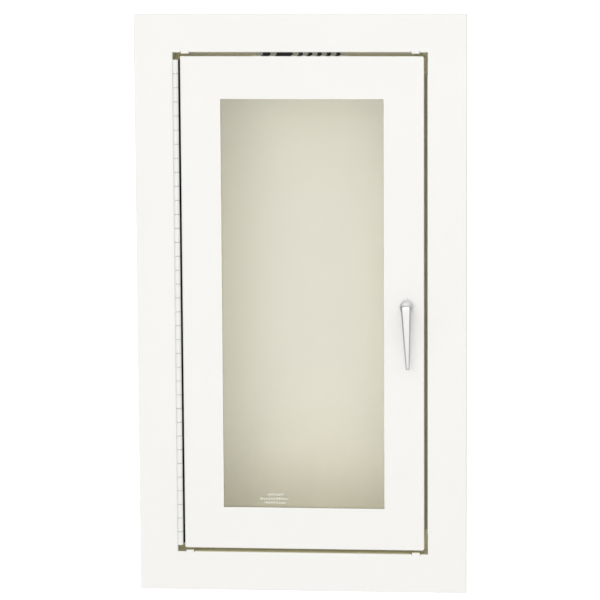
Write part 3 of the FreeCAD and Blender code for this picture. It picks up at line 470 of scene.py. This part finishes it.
def blade_rings():
    """Sections from the rounded head to the rounded tip."""
    straight = BLADE_LENGTH - HEAD_ROUND - TIP_ROUND
    end_angles = [QUARTER_TURN * step / END_SECTIONS for step in range(END_SECTIONS + 1)]
    rings = []
    for angle in end_angles:
        width = HEAD_END_SHARE + (1 - HEAD_END_SHARE) * math.sin(angle) ** END_ROUNDNESS
        rings.append(blade_ring(HEAD_ROUND * (1 - math.cos(angle)), width,
                                HEAD_FALL * (1 - math.sin(angle))))
    for step in range(1, BLADE_SECTIONS):
        rings.append(blade_ring(HEAD_ROUND + straight * step / BLADE_SECTIONS, 1.0, 0.0))
    for angle in end_angles:
        width = TIP_END_SHARE + (1 - TIP_END_SHARE) * math.cos(angle) ** END_ROUNDNESS
        rings.append(blade_ring(BLADE_LENGTH - TIP_ROUND * (1 - math.sin(angle)), width,
                                TIP_FALL * (1 - math.cos(angle))))
    return rings


def boss_profile():
    """Half-section of the boss from its seat on the door to the middle of its domed face."""
    side_end = BOSS_LENGTH - DOME_RISE
    profile = [(0.0, BOSS_SEAT_RADIUS), (BOSS_SEAT_RISE, BOSS_RADIUS), (side_end, BOSS_RADIUS)]
    for step in range(1, DOME_STEPS):
        angle = QUARTER_TURN * step / DOME_STEPS
        profile.append((BOSS_LENGTH - DOME_RISE * (1 - math.sin(angle)), BOSS_RADIUS * math.cos(angle)))
    profile.append((BOSS_LENGTH, DOME_FLAT))
    return profile


def pull():
    """Round boss with a tapered blade in front of it, leaning slightly as a whole."""
    place = Matrix.Translation(Vector((HANDLE_X * MM, front_y, 0)))
    place = place @ Matrix.Rotation(-HANDLE_LEAN, 4, "Y") @ Matrix.Scale(MM, 4)
    blade_mesh = skin_rings("pull_blade", blade_rings())
    blade_mesh.transform(place)
    blade = new_piece("pull_blade", blade_mesh, finishes["polished_zinc"], "door", 20)
    boss_mesh = lathe("pull_boss", boss_profile(), Vector((0, 0, 0)), (0, -1, 0))
    boss_mesh.transform(place)
    boss = new_piece("pull_boss", boss_mesh, finishes["boss_plate"], "door", 50)
    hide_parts("pull_handle")
    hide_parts("pull_handle")


# Catch springs, bumpers and pane --------------------------------------------------------------

COIL_RADIUS = 3.0 * MM
COIL_TURNS = 2.25
COIL_STEPS = 72
LEG_STEPS = 6
WIRE_RADIUS = 0.42 * MM
SPRUNG_ARMS = (("lower_spring", "lower_arm_swing", -1), ("upper_spring", "upper_arm_swing", 1))


def spring_path(pivot, turning):
    """Coil round an arm's pivot, with a straight leg back to the bracket's web."""
    low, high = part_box("catch_springs")
    path = []
    for step in range(COIL_STEPS + 1):
        angle = FULL_TURN * COIL_TURNS * step / COIL_STEPS
        x = low.x + WIRE_RADIUS + (high.x - low.x - WIRE_RADIUS * 2) * step / COIL_STEPS
        path.append(Vector((x, pivot.y - math.sin(angle) * COIL_RADIUS,
                            pivot.z + math.cos(angle) * COIL_RADIUS * turning)))
    path.reverse()
    last = path[-1]
    for step in range(1, LEG_STEPS + 1):
        path.append(last + Vector((0, (high.y - WIRE_RADIUS - last.y) * step / LEG_STEPS, 0)))
    return path


def arm_springs():
    """Helical torsion springs in the place of the CAD's tubes."""
    pivots = {joint["name"]: Vector(joint["pos_m"]) for joint in frame["record"]["behaviour"]["joints"]}
    springs = []
    for name, joint, turning in SPRUNG_ARMS:
        mesh = tube(name, spring_path(pivots[joint], turning), WIRE_RADIUS)
        springs.append(new_piece(name, mesh, finishes["spring_steel"], "cabinet"))
    for spring in springs:
        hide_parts("catch_springs")


BUMPER_RADIUS = 3.2 * MM
BUMPER_SHOULDER = 0.35
BUMPER_FLAT = 0.1
BUMPER_STEPS = 8
BUMPER_ARC = 0.93


def domed_bumpers():
    """Rubber dots with a low dome towards the door, in the place of the CAD's discs."""
    low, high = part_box("rubber_bumpers")
    thickness = high.y - low.y
    profile = [(0.0, BUMPER_RADIUS)]
    for step in range(1, BUMPER_STEPS + 1):
        angle = QUARTER_TURN * step / BUMPER_STEPS
        rise = BUMPER_SHOULDER + (1 - BUMPER_SHOULDER) * math.sin(angle)
        width = max(math.cos(angle * BUMPER_ARC), BUMPER_FLAT)
        profile.append((thickness * rise, BUMPER_RADIUS * width))
    for column, x in (("left", low.x + BUMPER_RADIUS), ("right", high.x - BUMPER_RADIUS)):
        for row, z in (("bottom", low.z + BUMPER_RADIUS), ("top", high.z - BUMPER_RADIUS)):
            name = f"bumper_{row}_{column}"
            mesh = lathe(name, profile, Vector((x, high.y, z)), (0, -1, 0), 32)
            dot = new_piece(name, mesh, finishes["rubber"], "cabinet", 50)
            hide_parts("rubber_bumpers")


PANE_ARRIS = 0.3 * MM


def bevel_pane():
    """Ground arris round the pane's edges."""
    arris = frame["nodes"]["glass_pane"].modifiers.new("arris", "BEVEL")
    arris.width = PANE_ARRIS
    arris.segments = 1


# Stage, in metres -----------------------------------------------------------------------------

FLOOR_DROP = 0.9
FLOOR_FRONT = -60.0
FLOOR_BACK = 5.0
STAGE_HALF_WIDTH = 9.0
BEND_RADIUS = 2.0
BEND_STEPS = 16
WALL_HEIGHT = 8.0
PAPER_SEEN = (0.93, 0.93, 0.93)
PAPER_UNSEEN = (0.6, 0.6, 0.6)
GLOW_SEEN = 0.6
GLOW_ALWAYS = 0.15


def stage():
    """Pale floor that curves up into a backdrop well behind and below the cabinet."""
    floor_z = trim_low.z - FLOOR_DROP
    profile = [Vector((0, FLOOR_FRONT, floor_z)), Vector((0, FLOOR_BACK, floor_z))]
    for step in range(1, BEND_STEPS + 1):
        angle = QUARTER_TURN * step / BEND_STEPS
        profile.append(Vector((0, FLOOR_BACK + BEND_RADIUS * math.sin(angle),
                               floor_z + BEND_RADIUS * (1 - math.cos(angle)))))
    profile.append(Vector((0, FLOOR_BACK + BEND_RADIUS, floor_z + WALL_HEIGHT)))
    aside = Vector((STAGE_HALF_WIDTH, 0, 0))
    mesh = bpy.data.meshes.new("backdrop")
    shape = bmesh.new()
    left = [shape.verts.new(point - aside) for point in profile]
    right = [shape.verts.new(point + aside) for point in profile]
    for index in range(len(profile) - 1):
        shape.faces.new((left[index], right[index], right[index + 1], left[index + 1])).smooth = True
    shape.to_mesh(mesh)
    shape.free()
    mesh.materials.append(backdrop_paper())
    backdrop = bpy.data.objects.new("backdrop", mesh)
    bpy.context.scene.collection.objects.link(backdrop)


def backdrop_paper():
    """Paper that looks white to the camera and throws less light back on the cabinet."""
    tree = Finish("backdrop_paper")
    seen = tree.add("LightPath").outputs["Is Camera Ray"]
    glow = tree.math("ADD", tree.math("MULTIPLY", seen, GLOW_SEEN), GLOW_ALWAYS)
    paper = tree.mix(seen, PAPER_UNSEEN, PAPER_SEEN)
    return tree.surface(paper, 0.9, Emission_Color=(1.0, 1.0, 1.0), Emission_Strength=glow)


def fade_edges(data, share):
    """Let an area lamp's strength fall off smoothly over a share of its width and height at each edge."""
    tree = Tree(data)
    across = tree.add("SeparateXYZ", Vector=tree.add("NewGeometry").outputs["Parametric"])
    strength = 1.0
    for axis in ("X", "Y"):
        from_middle = tree.math("ABSOLUTE", tree.math("SUBTRACT", across.outputs[axis], 0.5))
        inwards = tree.spread(from_middle, 0.0, 1.0, 0.5, 0.5 - share, "SMOOTHSTEP")
        strength = tree.math("MULTIPLY", strength, inwards)
    tree.feed(tree.nodes["Emission"].inputs["Strength"], strength)


def lamp(name, place, target, size, power, fade=0.0):
    data = bpy.data.lights.new(name, "AREA")
    data.shape = "RECTANGLE"
    data.size, data.size_y = size
    data.energy = power
    if fade:
        fade_edges(data, fade)
    light = bpy.data.objects.new(name, data)
    light.location = place
    light.rotation_euler = (Vector(target) - Vector(place)).to_track_quat("-Z", "Y").to_euler()
    light.visible_camera = False
    bpy.context.scene.collection.objects.link(light)


WORLD_STRENGTH = 0.525
OVERHEAD_STRENGTH = 1.05
SIDE_SHARE = 0.7


def studio_world():
    """White surroundings, brighter overhead and a little darker towards the left and right sides."""
    world = bpy.data.worlds.new("studio")
    bpy.context.scene.world = world
    tree = Tree(world)
    split = tree.add("SeparateXYZ", Vector=tree.add("TexCoord").outputs["Generated"])
    aside = tree.math("ABSOLUTE", split.outputs["X"])
    sides = tree.spread(aside, 1.0, SIDE_SHARE, 0.7, 0.97, "SMOOTHSTEP")
    height = tree.spread(split.outputs["Z"], WORLD_STRENGTH, OVERHEAD_STRENGTH, 0.1, 0.8, "SMOOTHSTEP")
    background = tree.nodes["Background"]
    tree.feed(background.inputs["Color"], (1.0, 1.0, 1.0))
    tree.feed(background.inputs["Strength"], tree.math("MULTIPLY", sides, height))


# Each lamp is (name, place from the middle of the front, size, power in watts, share that fades).
LAMPS = (("key", (-0.6, -2.8, 1.3), (2.2, 2.0), 9.8, 0.0),
         ("front", (0.0, -3.4, 0.15), (2.6, 2.7), 43, 0.2))


def lighting():
    studio_world()
    centre = Vector((0, front_y, 0))
    for name, offset, size, power, fade in LAMPS:
        lamp(name, centre + Vector(offset), centre, size, power, fade)


CAMERA_AZIMUTH = math.radians(5.22)
CAMERA_ELEVATION = math.radians(8.34)
CAMERA_ROLL = math.radians(0.34)
CAMERA_DISTANCE = 3.004
CAMERA_LENS = 199.6
CAMERA_SENSOR = 36.0
CAMERA_AIM_X = -1.05 * MM
CAMERA_AIM_Z = 4.9 * MM
CLIP_END = 60.0


def camera():
    """Long lens, slightly above and to the right of the door's middle."""
    data = bpy.data.cameras.new("camera")
    data.lens = CAMERA_LENS
    data.sensor_width = CAMERA_SENSOR
    data.clip_end = CLIP_END
    eye = bpy.data.objects.new("camera", data)
    target = Vector((CAMERA_AIM_X, front_y, CAMERA_AIM_Z))
    back = Vector((math.sin(CAMERA_AZIMUTH) * math.cos(CAMERA_ELEVATION),
                   -math.cos(CAMERA_AZIMUTH) * math.cos(CAMERA_ELEVATION), math.sin(CAMERA_ELEVATION)))
    eye.location = target + back * CAMERA_DISTANCE
    turn = back.to_track_quat("Z", "Y").to_matrix() @ Matrix.Rotation(-CAMERA_ROLL, 3, "Z")
    eye.rotation_euler = turn.to_euler()
    bpy.context.scene.collection.objects.link(eye)
    bpy.context.scene.camera = eye
    bpy.context.scene.view_settings.view_transform = "Standard"


finish_nodes()
pull()
arm_springs()
domed_bumpers()
bevel_pane()
stage()
lighting()
camera()
